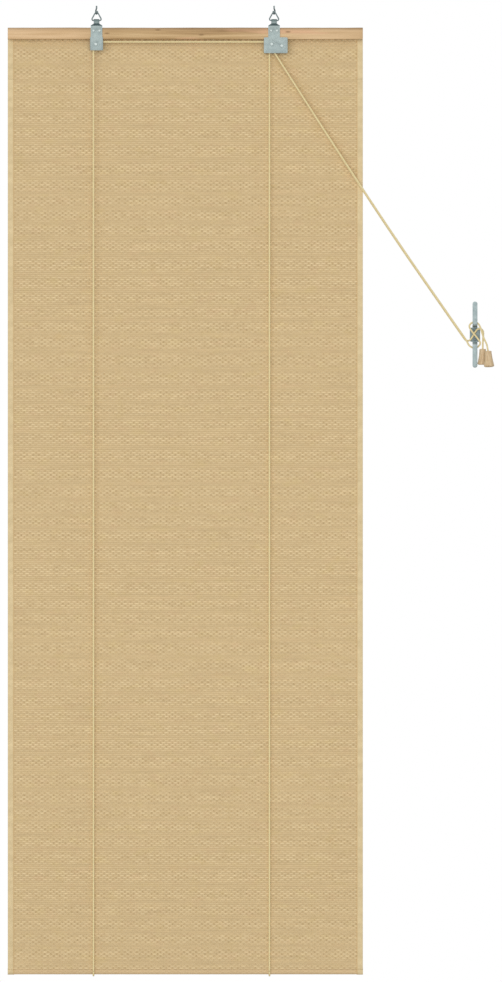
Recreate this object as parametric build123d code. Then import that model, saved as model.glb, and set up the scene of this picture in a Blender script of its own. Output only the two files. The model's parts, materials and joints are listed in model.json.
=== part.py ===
from build123d import *

# Bamboo roller blind: a reed mat on a flat head rail, hung by two folded steel brackets from
# wire rings on screw hooks, and raised by two cords that end on a wall cleat.
# Millimetres. +X is to the right seen from the front, +Y to the back, +Z up.
# The origin is midway between the tops of the two hook shanks.

import math
import os

# Overall sizes
blind_width = 600.0
hanger_spacing = 300.0
hem_drop = 1631.85
overrun = 1.0

# Clearances
seat_gap = 0.1
running_gap = 0.05
cord_gap = 0.3
cord_end_gap = 0.02

# Screw hooks of bent wire, one over each bracket
hook_wire = 2.6
hook_shank = 4.5
hook_bend_drop = 8.2
hook_bend_radius = 2.0
hook_bowl_radius = 3.1
hook_bowl_flat = 0.2
hook_tip_rise = 5.0
hook_turn_deg = 25.0

# Wire rings, triangular, with the bracket folded over the bottom bar
ring_wire = 2.2
ring_bar_drop = 24.9
ring_rise = 17.1
ring_half_base = 9.4
ring_apex_radius = 3.2
ring_corner_radius = 2.5

# Head rail, a flat lath
rail_top_drop = 37.2
rail_height = 19.6
rail_depth = 12.0
rail_edge_radius = 1.6

# Reed mat and the hem round its bottom dowel
mat_thickness = 1.8
mat_top_inset = 2.0
reed_pitch = 3.41
reed_groove = 0.5
selvedge_width = 10.5
dowel_diameter = 8.0
dowel_inset = 1.5
dowel_gap = 0.15
hem_wall = 1.2

# Staples through the mat into the back of the rail
outer_bay_staples = 2
middle_bay_staples = 4
staple_crown = 10.0
staple_wire = 0.7
staple_leg = 6.0
staple_drop = 8.0

# Brackets of folded sheet steel
sheet = 1.2
sheet_bend_radius = 1.6
neck_gap = 0.15
neck_width = 9.6
shoulder_top_drop = 30.2
shoulder_bottom_drop = 33.6
strap_width = 19.6
back_lip_drop = 60.0
back_lip_length = 9.0
outline_corner_radius = 2.0

# Left bracket: the strap widens into a small pulley cage
left_flare_drop = 52.7
left_cage_top_drop = 57.8
left_cage_width = 22.0
left_cage_bottom_drop = 75.5
left_cheek_reach = 17.0

# Right bracket: the strap carries the cord lock housing
housing_top_drop = 53.6
housing_bottom_drop = 80.2
housing_left_reach = 17.2
housing_right_reach = 22.8
housing_cheek_top_drop = 57.8
housing_cheek_reach = 36.0
housing_left_lip = 6.5
housing_lip_rise = 4.0
curl_radius = 3.0
rib_width = 3.0
rib_height = 0.6

# Screws that hold the brackets to the rail
bracket_screw_shank = 2.4
bracket_screw_length = 9.0
bracket_screw_head = 4.4
bracket_screw_head_height = 1.1
bracket_screw_drop = 42.4
bracket_screw_offset = 5.0

# Pulleys on riveted axles
cord_diameter = 3.0
axle_diameter = 3.0
axle_head = 5.4
axle_head_height = 1.0
axle_tail_height = 0.8
axle_drop = 65.2
pulley_pitch_radius = 4.0
pulley_rim_radius = 5.7
groove_floor_width = 3.2
groove_mouth_width = 3.8
groove_spacing = 4.3
pulley_flange = 0.45
left_pulley_offset = -1.2
right_pulley_offset = -3.8

# Lock cam, with teeth at its nose and a heavier tail
cam_offset = 12.8
cam_drop = 67.8
cam_hub_radius = 3.4
cam_tail_radius = 4.4
cam_tail_reach = 3.6
cam_nose_half = 1.7
cam_tilt_deg = 5.0
cam_tooth_depth = 0.9
cam_teeth = 3
cam_cord_gap = 0.5

# Wall cleat of folded steel, its foot held by two screws
cleat_x = 489.5
cleat_drop = 555.8
cleat_height = 112.0
cleat_sheet = 2.5
cleat_wall_y = 4.0
cleat_depth = 12.2
cleat_horn_width = 8.3
cleat_foot_width = 17.5
cleat_foot_height = 24.0
cleat_foot_corner = 3.0
cleat_step_spacing = 31.0
cleat_bend_radius = 3.0
cleat_screw_spacing = 17.0
cleat_screw_shank = 3.5
cleat_screw_head = 6.4
cleat_screw_length = 14.0
cleat_screw_neck = 3.9
cleat_screw_point = 4.0

# Turned wooden tassels
tassel_height = 26.8
tassel_top_diameter = 10.9
tassel_bottom_diameter = 18.7
tassel_edge = 0.9
tassel_foot_radius = 2.6
tassel_waist_share = 0.45
tassel_waist_in = 0.7
tassel_bore = 3.0
tassel_cup_diameter = 9.0
tassel_cup_depth = 9.0
tassel_lead = 8.0
left_tassel_top = (502.5, -4.0, -580.0)
right_tassel_top = (511.8, -20.5, -583.7)
right_tassel_lean = (0.05, -0.10, -1.0)
knot_radius = 3.0
anchor_knot_radius = 2.4

# Pull cord routes from the lock to the tassels, as points beside the cleat's middle
left_belay = [
    (-177.1, -7.2, 223.9),
    (-13.6, -4.1, -11.0),
    (-10.4, -3.7, -18.4),
    (-3.6, -3.6, -22.6),
    (3.6, -3.6, -22.0),
    (8.6, -3.6, -16.8),
    (9.2, -3.6, -11.6),
    (-10.6, -3.6, 11.6),
    (-8.6, -3.6, 18.0),
    (-2.6, -3.6, 21.6),
    (4.0, -3.6, 20.4),
    (8.6, -4.4, 14.4),
    (11.0, -6.6, 6.0),
    (15.4, -13.0, -8.0),
]
right_belay = [
    (-178.3, -3.3, 223.1),
    (-16.4, -0.5, -9.4),
    (-11.9, -0.3, -10.8),
    (-7.5, -0.2, -9.0),
    (2.7, -0.2, 8.6),
    (7.1, -0.3, 10.4),
    (11.6, -0.8, 9.1),
    (14.4, -1.6, 5.3),
    (13.9, -3.0, -5.0),
]

# Places worked out from the sizes above
mat_front = -mat_thickness / 2
mat_back = mat_thickness / 2
rail_back = mat_front
rail_front = rail_back - rail_depth
front_leg_y = rail_front - seat_gap - sheet / 2
front_leg_inner = front_leg_y + sheet / 2
front_leg_outer = front_leg_y - sheet / 2
neck_radius = ring_wire / 2 + neck_gap + sheet / 2
left_x = -hanger_spacing / 2
right_x = hanger_spacing / 2
cord_radius = cord_diameter / 2
axle_radius = axle_diameter / 2
hole_radius = axle_radius + running_gap
pulley_half = groove_mouth_width / 2 + pulley_flange
front_groove_y = front_leg_inner + 2 * seat_gap + pulley_half
rear_groove_y = front_groove_y + groove_spacing
left_cheek_y = front_groove_y + pulley_half + 2 * seat_gap + sheet / 2
right_cheek_y = rear_groove_y + pulley_half + 2 * seat_gap + sheet / 2
hem_inner = dowel_diameter / 2 + dowel_gap
hem_outer = hem_inner + hem_wall
hem_y = mat_front + hem_outer
loop_radius = hem_outer + cord_gap + cord_radius
loop_front_y = hem_y - loop_radius
loop_back_y = hem_y + loop_radius
left_axle_x = left_x + left_pulley_offset
right_axle_x = right_x + right_pulley_offset
left_cord_x = left_axle_x - pulley_pitch_radius
right_cord_x = right_axle_x - pulley_pitch_radius
down_cord_x = right_axle_x + pulley_pitch_radius
header_drop = axle_drop - pulley_pitch_radius
wrap_radius = pulley_pitch_radius - running_gap
curl_x = down_cord_x + cord_radius + cord_gap + curl_radius
curl_drop = housing_bottom_drop - curl_radius
curl_wrap_radius = curl_radius + cord_gap + cord_radius
cam_x = right_x + cam_offset
anchor_y = neck_radius + sheet / 2 + back_lip_length / 2
cleat_horn_y = cleat_wall_y - cleat_depth + cleat_sheet / 2
cleat_foot_y = cleat_wall_y - cleat_sheet / 2


def cross_section(points):
    """A closed outline of (Y, Z) points."""
    return Plane.YZ * make_face(Polyline(*points, close=True))


def front_view(outline, front, back):
    """An outline drawn in X and Z, carried from the front to the back."""
    wall = Plane((0, back, 0), x_dir=(1, 0, 0), z_dir=(0, -1, 0))
    return extrude(wall * outline, back - front)


def folded_strip(points, radius, thickness, left, right):
    """A sheet folded along (Y, Z) points and as wide as left to right in X."""
    fold = trace(FilletPolyline(*points, radius=radius), thickness)
    return extrude(Plane((left, 0, 0), x_dir=(0, 1, 0), z_dir=(1, 0, 0)) * fold, right - left)


def folded_wall(points, radius, thickness, bottom, top):
    """A sheet folded along (X, Y) points and standing from bottom to top in Z."""
    fold = trace(FilletPolyline(*points, radius=radius), thickness)
    return extrude(Plane((0, 0, bottom)) * fold, top - bottom)


def tube(path, diameter):
    """A round section carried along a path."""
    return sweep(Plane(path @ 0, z_dir=path % 0) * Circle(diameter / 2), path=path)


def rod(x, z, radius, front, back):
    """A round bar along Y."""
    return extrude(Plane((x, front, z), x_dir=(1, 0, 0), z_dir=(0, 1, 0)) * Circle(radius), back - front)


def cord_radii(points, run_share=0.45):
    """The largest arc that the two runs beside each point of a cord leave room for."""
    radii = []
    for before, corner, after in zip(points, points[1:], points[2:]):
        first = Vector(*corner) - Vector(*before)
        second = Vector(*after) - Vector(*corner)
        half_turn = math.radians(first.get_angle(second)) / 2
        radii.append(run_share * min(first.length, second.length) / math.tan(half_turn))
    return radii


def hook(x, turn_deg):
    """Shank, offset bend, bowl and tip of one screw hook, turned about its shank."""
    half = hook_bowl_radius + hook_bowl_flat / 2
    bowl = ring_apex_drop() + ring_wire / 2 + hook_wire / 2 + seat_gap
    points = [(0, 0), (0, -hook_shank), (-half, -hook_bend_drop), (-half, -bowl), (half, -bowl)]
    points.append((half, hook_tip_rise - bowl))
    radii = [hook_bend_radius, hook_bend_radius, hook_bowl_radius, hook_bowl_radius]
    turn = math.radians(turn_deg)
    forward = (math.sin(turn), -math.cos(turn), 0)
    sideways = (-math.cos(turn), -math.sin(turn), 0)
    plane = Plane((x, 0, 0), x_dir=forward, z_dir=sideways)
    return tube(plane * FilletPolyline(*points, radius=radii), hook_wire)


def ring_apex_drop():
    """How far the middle of the ring's apex lies below the shank tops."""
    half_angle = math.atan(ring_half_base / ring_rise)
    return ring_bar_drop - ring_rise + ring_apex_radius / math.sin(half_angle) - ring_apex_radius


def ring(x):
    """A wire bent into a closed triangle."""
    apex = (x, 0, ring_rise - ring_bar_drop)
    left = (x - ring_half_base, 0, -ring_bar_drop)
    right = (x + ring_half_base, 0, -ring_bar_drop)
    radii = [ring_corner_radius, ring_apex_radius, ring_corner_radius]
    return tube(FilletPolyline(left, apex, right, radius=radii, close=True), ring_wire)


def head_rail():
    """A flat lath with rounded long edges and pilot holes for the bracket screws."""
    middle = (rail_front + rail_back) / 2
    lath = Pos(0, middle, -rail_top_drop - rail_height / 2) * Box(blind_width, rail_depth, rail_height)
    lath = fillet(lath.edges().filter_by(Axis.X), rail_edge_radius)
    for x, drop in bracket_screw_places():
        tip = front_leg_outer + bracket_screw_length + overrun
        hole = bracket_screw_shank / 2 + running_gap
        lath -= rod(x, -drop, hole, rail_front - overrun, tip)
    return lath


def bamboo_mat():
    """One wall with a ridge for each reed on both faces, plain selvedges, and a hem round the dowel."""
    top = -rail_top_drop - mat_top_inset
    reeds = int((hem_drop + top - hem_outer) / reed_pitch)
    front = []
    back = []
    for index in range(reeds):
        edge = top - index * reed_pitch
        middle = edge - reed_pitch / 2
        front += [(mat_front + reed_groove, edge), (mat_front, middle)]
        back += [(mat_back - reed_groove, edge), (mat_back, middle)]
    hem_top = [(mat_front, -hem_drop), (mat_front + hem_wall, -hem_drop), (mat_back, hem_outer - hem_drop)]
    half = blind_width / 2
    wall = extrude(cross_section(front + hem_top + back[::-1]), half - selvedge_width, both=True)
    plain = cross_section([(mat_front, top)] + hem_top + [(mat_back, top)])
    for side in (-1, 1):
        wall += Pos(side * (half - selvedge_width / 2), 0, 0) * extrude(plain, selvedge_width / 2, both=True)
    centre = Plane((0, hem_y, -hem_drop), x_dir=(0, 1, 0), z_dir=(1, 0, 0))
    hem = extrude(centre * (Circle(hem_outer) - Circle(hem_inner)), half, both=True)
    return wall + hem


def bottom_dowel():
    """The round bar inside the hem."""
    length = blind_width - 2 * dowel_inset
    return Pos(0, hem_y, -hem_drop) * Rot(0, 90, 0) * Cylinder(dowel_diameter / 2, length)


def mat_staples():
    """Wire staples through the mat into the rail, spread over the bays beside and between the brackets."""
    half = blind_width / 2
    bays = [(-half, left_x, outer_bay_staples), (left_x, right_x, middle_bay_staples)]
    bays.append((right_x, half, outer_bay_staples))
    z = -rail_top_drop - staple_drop
    staples = []
    for start, end, count in bays:
        pitch = (end - start) / count
        for index in range(count):
            x = start + (index + 1 / 2) * pitch
            staple = Pos(x, mat_back + staple_wire / 2, z) * Box(staple_crown, staple_wire, staple_wire)
            for side in (-1, 1):
                leg_x = x + side * (staple_crown - staple_wire) / 2
                staple += Pos(leg_x, mat_back - staple_leg / 2, z) * Box(staple_wire, staple_leg, staple_wire)
            staples.append(staple)
    return Compound(staples)


def bracket_screw_places():
    """X and depth of the four bracket screws."""
    return [
        (x + side * bracket_screw_offset, bracket_screw_drop)
        for x in (left_x, right_x)
        for side in (-1, 1)
    ]


def bracket_screws():
    """Pan-head screws from the front straps into the rail."""
    screws = []
    for x, drop in bracket_screw_places():
        face = front_leg_outer - bracket_screw_head_height
        tip = front_leg_outer + bracket_screw_length
        head = rod(x, -drop, bracket_screw_head / 2, face, front_leg_outer)
        head = chamfer(head.faces().sort_by(Axis.Y)[0].edges(), bracket_screw_head_height / 2)
        shank = rod(x, -drop, bracket_screw_shank / 2, front_leg_outer, tip)
        screws.append(head + shank)
    return Compound(screws)


def saddle(x, front_bottom_drop, outline):
    """One strip folded from the front leg over the ring's bar to the back leg and its cord lip."""
    bar_top = neck_radius - ring_bar_drop
    points = [
        (front_leg_y, -front_bottom_drop),
        (front_leg_y, -shoulder_bottom_drop),
        (-neck_radius, -shoulder_top_drop),
        (-neck_radius, bar_top),
        (neck_radius, bar_top),
        (neck_radius, -back_lip_drop),
        (neck_radius + sheet / 2 + back_lip_length, -back_lip_drop),
    ]
    turn = neck_radius - running_gap
    radii = [sheet_bend_radius, sheet_bend_radius, turn, turn, sheet_bend_radius]
    reach = max(housing_left_reach, housing_right_reach)
    strip = folded_strip(points, radii, sheet, x - reach, x + reach)
    front = front_leg_outer - overrun
    back = neck_radius + sheet + back_lip_length + overrun
    body = strip & front_view(Pos(x, 0) * outline, front, back)
    for side in (-1, 1):
        place = (x + side * bracket_screw_offset, -bracket_screw_drop)
        hole = bracket_screw_shank / 2 + running_gap
        body -= rod(*place, hole, front_leg_outer - overrun, front_leg_inner + overrun)
    return body


def strap_outline(lower):
    """Neck, sloping shoulders and strap, seen from the front, with the lower right-hand points given."""
    top = neck_radius + sheet - ring_bar_drop
    neck = neck_width / 2
    half = strap_width / 2
    right = [(neck, top), (neck, -shoulder_top_drop), (half, -shoulder_bottom_drop)] + lower
    left = [(-x, z) for x, z in reversed(right)]
    return make_face(Polyline(*right, *left, close=True))


def anchor_hole(x):
    """The hole in the back lip for a cord's end."""
    hole = Cylinder(cord_radius + cord_gap, 2 * sheet + overrun)
    return Pos(x, anchor_y, -back_lip_drop) * hole


def left_bracket():
    """The left saddle with a cage round its pulley, open to the right and below."""
    half = left_cage_width / 2
    flare = half - strap_width / 2
    lower = [(strap_width / 2, -left_flare_drop), (half, -left_flare_drop - flare)]
    lower.append((half, -left_cage_bottom_drop))
    body = saddle(left_x, left_cage_bottom_drop, strap_outline(lower))
    side = left_x - half + sheet / 2
    cheek_end = left_x - half + left_cheek_reach
    points = [(cheek_end, front_leg_y), (side, front_leg_y), (side, left_cheek_y), (cheek_end, left_cheek_y)]
    body += folded_wall(points, sheet_bend_radius, sheet, -left_cage_bottom_drop, -left_cage_top_drop)
    body -= rod(left_axle_x, -axle_drop, hole_radius, front_leg_outer - overrun, left_cheek_y + sheet)
    return body - anchor_hole(left_cord_x)


def right_bracket():
    """The right saddle with the cord lock housing, its bottom lips and the rolled cord guide."""
    outline = strap_outline([(strap_width / 2, -back_lip_drop - sheet)])
    body = saddle(right_x, housing_top_drop + outline_corner_radius, outline)
    left = right_x - housing_left_reach
    right = right_x + housing_right_reach
    side = right - sheet / 2
    rear = right_cheek_y + sheet / 2
    bottom = -housing_bottom_drop
    plate = Pos((left + right) / 2, -(housing_top_drop + housing_bottom_drop) / 2) * RectangleRounded(
        right - left, housing_bottom_drop - housing_top_drop, outline_corner_radius
    )
    body += front_view(plate, front_leg_outer, front_leg_inner)
    cheek_end = right - housing_cheek_reach
    points = [(right_x, front_leg_y), (side, front_leg_y), (side, right_cheek_y), (cheek_end, right_cheek_y)]
    body += folded_wall(points, sheet_bend_radius, sheet, bottom, -housing_cheek_top_drop)
    lip_z = bottom + sheet / 2
    lip = [(front_leg_y, bottom + housing_lip_rise), (front_leg_y, lip_z), (rear, lip_z)]
    body += folded_strip(lip, sheet_bend_radius, sheet, left, left + housing_left_lip)
    body += folded_strip(lip, sheet_bend_radius, sheet, curl_x, side)
    body += rod(curl_x, -curl_drop, curl_radius, front_leg_inner - sheet / 2, rear)
    rib = [(right_x - rib_width, -housing_top_drop - rib_width), (right - rib_width, bottom + 3 * rib_width)]
    rib_outline = trace(Line(*rib), rib_width)
    body += front_view(rib_outline, front_leg_outer - rib_height, front_leg_outer)
    for x, drop in ((right_axle_x, axle_drop), (cam_x, cam_drop)):
        clear = axle_head / 2 + seat_gap
        body -= rod(x, -drop, clear, front_leg_outer - overrun, front_leg_outer)
        body -= rod(x, -drop, hole_radius, front_leg_outer - overrun, rear + overrun)
    return body - anchor_hole(right_cord_x)


def axle_rivet(x, drop, cheek_y):
    """A headed axle through the front plate and the rear cheek, closed behind the cheek."""
    rear = cheek_y + sheet / 2
    head = rod(x, -drop, axle_head / 2, front_leg_outer - axle_head_height, front_leg_outer)
    head = chamfer(head.faces().sort_by(Axis.Y)[0].edges(), axle_head_height / 2)
    shaft = rod(x, -drop, axle_radius, front_leg_outer, rear)
    tail = rod(x, -drop, axle_head / 2, rear, rear + axle_tail_height)
    return head + shaft + tail


def axle_rivets():
    """The two pulley axles and the lock cam's pin."""
    places = [(left_axle_x, axle_drop, left_cheek_y), (right_axle_x, axle_drop, right_cheek_y)]
    places.append((cam_x, cam_drop, right_cheek_y))
    return Compound([axle_rivet(*place) for place in places])


def pulley(x, groove_places):
    """A wheel with one groove for each cord, turned about its axle."""
    front = groove_places[0] - pulley_half
    back = groove_places[-1] + pulley_half
    wheel = rod(x, -axle_drop, pulley_rim_radius, front, back)
    wheel -= rod(x, -axle_drop, hole_radius, front - overrun, back + overrun)
    floor = pulley_pitch_radius - cord_radius - seat_gap
    axis = Axis((x, 0, -axle_drop), (0, 1, 0))
    for y in groove_places:
        slope = (groove_mouth_width - groove_floor_width) / 2 / (pulley_rim_radius - floor)
        mouth = groove_mouth_width / 2 + slope * overrun
        top = pulley_rim_radius + overrun
        low = groove_floor_width / 2
        points = [(floor, y - low), (top, y - mouth), (top, y + mouth), (floor, y + low)]
        section = Plane((x, 0, -axle_drop)) * make_face(Polyline(*points, close=True))
        wheel -= revolve(section, axis)
    return wheel


def lock_cam():
    """An eccentric with a toothed nose beside the cords and a tail that holds the nose up."""
    reach = (cam_x - down_cord_x - cord_radius - cam_cord_gap) / math.cos(math.radians(cam_tilt_deg))
    tooth = 2 * cam_nose_half / cam_teeth
    nose = [(0, cam_hub_radius)]
    for index in range(cam_teeth):
        z = cam_nose_half - index * tooth
        nose += [(cam_tooth_depth - reach, z), (-reach, z - tooth / 2)]
    nose += [(cam_tooth_depth - reach, -cam_nose_half), (0, -cam_hub_radius)]
    outline = make_face(Polyline(*nose, close=True)) + Circle(cam_hub_radius)
    outline += Pos(cam_tail_reach, 0) * Circle(cam_tail_radius)
    outline -= Circle(hole_radius)
    front = front_groove_y - groove_mouth_width / 2
    back = rear_groove_y + groove_mouth_width / 2
    return front_view(Pos(cam_x, -cam_drop) * Rot(0, 0, cam_tilt_deg) * outline, front, back)


def cleat():
    """A folded strip: two horns that stand off the wall and a wider foot between them."""
    top = cleat_height / 2
    step = cleat_step_spacing / 2
    points = [(cleat_horn_y, top), (cleat_horn_y, step), (cleat_foot_y, step)]
    points += [(y, -z) for y, z in reversed(points)]
    half = cleat_foot_width / 2
    fold = folded_strip(points, cleat_bend_radius, cleat_sheet, -half, half)
    horn = SlotOverall(cleat_height, cleat_horn_width, rotation=90)
    foot = RectangleRounded(cleat_foot_width, cleat_foot_height, cleat_foot_corner)
    outline = front_view(horn + foot, cleat_wall_y - cleat_depth - overrun, cleat_wall_y + overrun)
    body = Pos(cleat_x, 0, -cleat_drop) * (fold & outline)
    for z in cleat_screw_heights():
        body -= cleat_screw(z, running_gap)
    return body


def cleat_screw_heights():
    """Heights of the two foot screws."""
    return [side * cleat_screw_spacing / 2 - cleat_drop for side in (1, -1)]


def cleat_screw(z, allowance):
    """A countersunk screw with its neck in the foot, or their hole when an allowance is added."""
    face = cleat_wall_y - cleat_sheet
    head = cleat_screw_head / 2 + allowance
    neck = cleat_screw_neck / 2 + allowance
    shank = cleat_screw_shank / 2 + allowance
    tip = cleat_wall_y + cleat_screw_length
    points = [
        (0, face),
        (head, face),
        (neck, face + head - neck),
        (neck, cleat_wall_y),
        (shank, cleat_wall_y),
        (shank, tip - cleat_screw_point),
        (0, tip),
    ]
    section = Plane((cleat_x, 0, z)) * make_face(Polyline(*points, close=True))
    return revolve(section, Axis((cleat_x, 0, z), (0, 1, 0)))


def tassel(top, lean):
    """A turned bell with a cord bore and a cup below for the knot."""
    big = tassel_bottom_diameter / 2
    small = tassel_top_diameter / 2
    waist_z = -tassel_height * tassel_waist_share
    waist = small + (big - small) * tassel_waist_share - tassel_waist_in
    bore = tassel_bore / 2
    cup = tassel_cup_diameter / 2
    ceiling = tassel_cup_depth - tassel_height
    points = [
        (bore, 0),
        (small - tassel_edge, 0),
        (small, -tassel_edge),
        (waist, waist_z),
        (big, -tassel_height),
        (cup, -tassel_height),
        (cup, ceiling),
        (bore, ceiling),
    ]
    section = Plane.XZ * make_face(Polyline(*points, close=True))
    section = fillet(section.vertices().sort_by(Axis.X)[-1], tassel_foot_radius)
    return Plane(top, z_dir=-Vector(*lean)) * revolve(section, Axis.Z)


def belay_points(route):
    """A pull cord's points beside the cleat, in the part's frame."""
    return [(cleat_x + x, y, z - cleat_drop) for x, y, z in route]


def pull_line(y, route):
    """The corner where a cord bends round the rolled guide, and the point where it leaves the lock."""
    bend = Vector(down_cord_x, y, -curl_drop)
    out = (Vector(*belay_points(route)[0]) - bend).normalized()
    tangent = curl_wrap_radius * math.tan(math.acos(-out.Z) / 2)
    corner = bend - Vector(0, 0, tangent)
    return corner, corner + out * (tangent + cord_diameter)


def lift_cord(x, y, corners, route):
    """A cord up the front of the mat, over its pulleys and down through the lock."""
    corner, exit_point = pull_line(y, route)
    points = [(x, loop_front_y, cord_end_gap - hem_drop)] + corners + [tuple(corner), tuple(exit_point)]
    radii = [wrap_radius] * len(corners) + [curl_wrap_radius]
    return tube(FilletPolyline(*points, radius=radii), cord_diameter)


def left_lift_cord():
    """Over the left pulley, along under the rail and over the right pulley."""
    y = front_groove_y
    corners = [(left_cord_x, y, -header_drop), (down_cord_x, y, -header_drop)]
    return lift_cord(left_cord_x, y, corners, left_belay)


def right_lift_cord():
    """Over the right pulley only."""
    y = rear_groove_y
    corners = [(right_cord_x, y, -header_drop), (down_cord_x, y, -header_drop)]
    return lift_cord(right_cord_x, y, corners, right_belay)


def back_cord(x):
    """A cord down the back of the mat, knotted above the bracket's lip."""
    seat = math.sqrt(anchor_knot_radius**2 - (cord_radius + cord_gap) ** 2)
    knot_z = sheet / 2 + seat + running_gap - back_lip_drop
    top = (x, anchor_y, knot_z)
    run = tube(Line(top, (x, loop_back_y, cord_end_gap - hem_drop)), cord_diameter)
    return run + Pos(*top) * Sphere(anchor_knot_radius)


def cord_loops():
    """The two half turns of cord that cradle the hem."""
    loops = []
    for x in (left_cord_x, right_cord_x):
        plane = Plane((x, hem_y, -hem_drop), x_dir=(0, 1, 0), z_dir=(1, 0, 0))
        loops.append(tube(plane * CenterArc((0, 0), loop_radius, 180, 180), cord_diameter))
    return Compound(loops)


def pull_cord(y, route, top, lean):
    """A cord from the lock to the cleat, belayed there, with its tail knotted inside a tassel."""
    exit_point = pull_line(y, route)[1]
    hang = Vector(*lean).normalized()
    above = Vector(*top) - hang * tassel_lead
    end = Vector(*top) + hang * (tassel_height - tassel_cup_depth + knot_radius)
    points = [tuple(exit_point)] + belay_points(route) + [tuple(above), tuple(end)]
    run = tube(FilletPolyline(*points, radius=cord_radii(points)), cord_diameter)
    return run + Pos(end) * Sphere(knot_radius)


straight_down = (0, 0, -1)
nodes = {
    "screw_hooks": Compound([hook(left_x, hook_turn_deg), hook(right_x, -hook_turn_deg)]),
    "hanger_rings": Compound([ring(left_x), ring(right_x)]),
    "head_rail": head_rail(),
    "bamboo_mat": bamboo_mat(),
    "bottom_dowel": bottom_dowel(),
    "mat_staples": mat_staples(),
    "left_bracket": left_bracket(),
    "right_bracket": right_bracket(),
    "bracket_screws": bracket_screws(),
    "axle_rivets": axle_rivets(),
    "left_pulley": pulley(left_axle_x, [front_groove_y]),
    "right_pulley": pulley(right_axle_x, [front_groove_y, rear_groove_y]),
    "lock_cam": lock_cam(),
    "cleat": cleat(),
    "cleat_screws": Compound([cleat_screw(z, 0) for z in cleat_screw_heights()]),
    "left_tassel": tassel(left_tassel_top, straight_down),
    "right_tassel": tassel(right_tassel_top, right_tassel_lean),
    "left_lift_cord": left_lift_cord(),
    "right_lift_cord": right_lift_cord(),
    "left_back_cord": back_cord(left_cord_x),
    "right_back_cord": back_cord(right_cord_x),
    "cord_loops": cord_loops(),
    "left_pull_cord": pull_cord(front_groove_y, left_belay, right_tassel_top, right_tassel_lean),
    "right_pull_cord": pull_cord(rear_groove_y, right_belay, left_tassel_top, straight_down),
}

os.makedirs("parts", exist_ok=True)
for name, shape in nodes.items():
    export_step(shape, f"parts/{name}.step")
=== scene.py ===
import json
import math

import bmesh
import bpy
import numpy as np
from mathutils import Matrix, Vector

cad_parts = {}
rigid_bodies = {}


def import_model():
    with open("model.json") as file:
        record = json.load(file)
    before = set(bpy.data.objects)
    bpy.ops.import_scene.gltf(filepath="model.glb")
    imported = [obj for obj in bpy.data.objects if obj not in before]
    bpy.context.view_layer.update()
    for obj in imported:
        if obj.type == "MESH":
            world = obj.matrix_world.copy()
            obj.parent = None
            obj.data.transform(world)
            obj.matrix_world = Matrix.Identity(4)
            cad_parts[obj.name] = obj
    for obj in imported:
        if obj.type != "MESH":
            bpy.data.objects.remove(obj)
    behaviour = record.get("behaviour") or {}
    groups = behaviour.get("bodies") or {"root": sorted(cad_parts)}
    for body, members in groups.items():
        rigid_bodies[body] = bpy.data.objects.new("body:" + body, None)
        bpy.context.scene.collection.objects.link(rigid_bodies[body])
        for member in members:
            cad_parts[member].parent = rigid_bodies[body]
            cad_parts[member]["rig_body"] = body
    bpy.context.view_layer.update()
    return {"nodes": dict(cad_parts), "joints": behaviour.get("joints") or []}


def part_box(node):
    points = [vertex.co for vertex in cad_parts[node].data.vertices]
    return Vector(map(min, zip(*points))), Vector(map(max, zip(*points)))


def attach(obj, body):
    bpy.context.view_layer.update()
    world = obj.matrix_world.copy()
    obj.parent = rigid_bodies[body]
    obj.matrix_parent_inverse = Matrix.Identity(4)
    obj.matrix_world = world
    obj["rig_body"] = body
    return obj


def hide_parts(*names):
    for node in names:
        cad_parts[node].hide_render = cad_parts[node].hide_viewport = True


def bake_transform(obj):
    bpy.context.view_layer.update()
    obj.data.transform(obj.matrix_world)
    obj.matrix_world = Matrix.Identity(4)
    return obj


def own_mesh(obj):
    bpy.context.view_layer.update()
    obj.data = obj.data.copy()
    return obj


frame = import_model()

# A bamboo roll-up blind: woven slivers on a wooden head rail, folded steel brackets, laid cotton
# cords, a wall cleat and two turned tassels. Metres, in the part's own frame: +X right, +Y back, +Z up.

rng = np.random.default_rng(7)

# Photograph's frame
photo_height_px = 982
metres_per_px = 0.001690
view_centre = (0.1110, 0.0, -0.8200)
lens_mm = 800.0
sensor_mm = 36.0
clip_share = 4.0

# Woven mat: bamboo slivers that pass over and under cotton warps
sliver_pitch = 0.003403
sliver_half_height = 0.00195
sliver_half_thickness = 0.00050
first_row_z = -0.0407
warp_pitch = 0.00501
first_warp_x = -0.2974
warp_count = 120
warp_width = 0.0009
# The slivers' tone is painted light and shade; the edge value below is the painted shade along each row's
# top and bottom edges.
sliver_edge_painted_shade = 0.08
bump_shares = (0.3, 1.3)
weave_depth = 0.00020
thread_depth = 0.00026
plain_band_z = -0.0671
plain_band_pitch = 0.0272
plain_band_wander = 0.1730
wander_angle = 0.9
faint_weave_share = 0.15
mat_bands = 3

# Bound side edges and the hem round the dowel
binding_width = 0.0105
binding_half_thickness = 0.00100
binding_swell = 0.00010
binding_sides = 20
binding_edge_power = 0.25
binding_face_power = 0.5
binding_shade_share = 0.8
binding_shade_width_share = 0.25
hem_inner = 0.00420
hem_outer = 0.00520
hem_join = 0.00280
hem_bump = 0.00016
# Painted shade in the hem's grooves between rows, at this value.
hem_groove_painted_shade = 0.2
hem_rows = 10
hem_tape = 0.00040
hem_tape_lap = 0.00020
hem_tape_sides = 40

# Cords
cord_radius = 0.0015
cord_lay = 0.0090
cord_lobe_share = 0.07
cord_strands = 3.0
cord_sides = 9
rings_per_lay = 5
route_steps = 24
join_z = -0.0712
loop_radius = 0.00715
loop_points = 40
cord_end_gap = 0.0003
knot_radius = 0.0030
anchor_knot_radius = 0.0024
knot_rows = 13
knot_sides = 24
knot_swell_share = 0.12
knot_turns = 3.0
knot_slant = 4.0

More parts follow.
